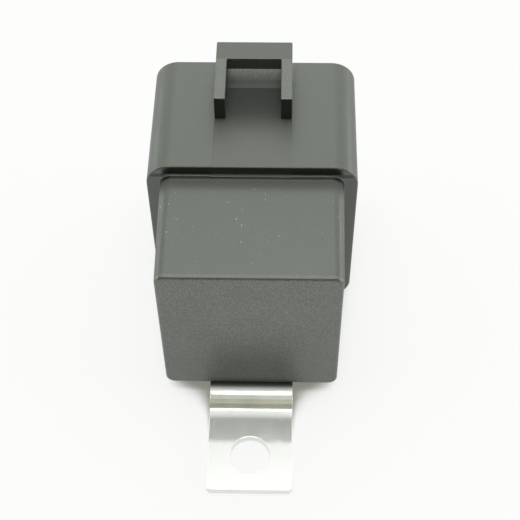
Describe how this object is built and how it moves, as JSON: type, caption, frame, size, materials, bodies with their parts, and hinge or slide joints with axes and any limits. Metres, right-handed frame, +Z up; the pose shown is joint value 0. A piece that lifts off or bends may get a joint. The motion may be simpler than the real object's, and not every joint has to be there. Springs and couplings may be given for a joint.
{
  "type": "automotive relay",
  "caption": "Black moulded changeover relay for a vehicle, with a skirted plug mouth, a latch bridge and a joggled plated steel mounting strap.",
  "frame": {"origin": "on the surface the relay lies on, under the middle of its bounding box", "axes": "+X across the width, +Y from the strap's end towards the connector mouth, +Z up"},
  "size_m": [0.0336, 0.0624, 0.0381],
  "materials": {
    "black_moulding": "semi-matt black moulding with a fine grain",
    "plated_steel": "bright zinc-plated steel strip",
    "grey_moulding": "dark grey moulding",
    "epoxy": "poured dark epoxy",
    "tinned_brass": "tinned brass",
    "bobbin_nylon": "natural nylon",
    "enamelled_copper": "enamelled copper wire",
    "insulating_tape": "yellow polyester tape",
    "iron": "nickel-flashed soft iron",
    "spring_bronze": "rolled bronze",
    "contact_silver": "silver alloy",
    "rivet_brass": "brass",
    "resistor_enamel": "blue-grey lacquer"
  },
  "bodies": {
    "case": {"housing": "black_moulding", "mounting_strap": "plated_steel", "base_plate": "grey_moulding", "potting_seal": "epoxy", "terminal_coil_a": "tinned_brass", "terminal_coil_b": "tinned_brass", "terminal_common": "tinned_brass", "terminal_open": "tinned_brass", "terminal_closed": "tinned_brass", "bobbin": "bobbin_nylon", "coil_winding": "enamelled_copper", "coil_tape": "insulating_tape", "core": "iron", "yoke": "iron", "fixed_contact_open": "contact_silver", "fixed_contact_closed": "contact_silver", "yoke_rivets": "rivet_brass", "coil_leads": "enamelled_copper", "suppression_resistor": "resistor_enamel"},
    "armature": {"armature": "iron", "contact_spring": "spring_bronze", "moving_contact": "contact_silver", "armature_rivets": "rivet_brass"}
  },
  "joints": [
    {"name": "armature_rock", "type": "hinge", "parent": "case", "child": "armature", "pos_m": [0, -0.00555, 0.00496], "axis": [-1, 0, 0], "range_deg": [0, 3.5], "stiffness_Nm_per_rad": 0.5, "springref_deg": -1.15, "deforming": ["contact_spring"]}
  ]
}
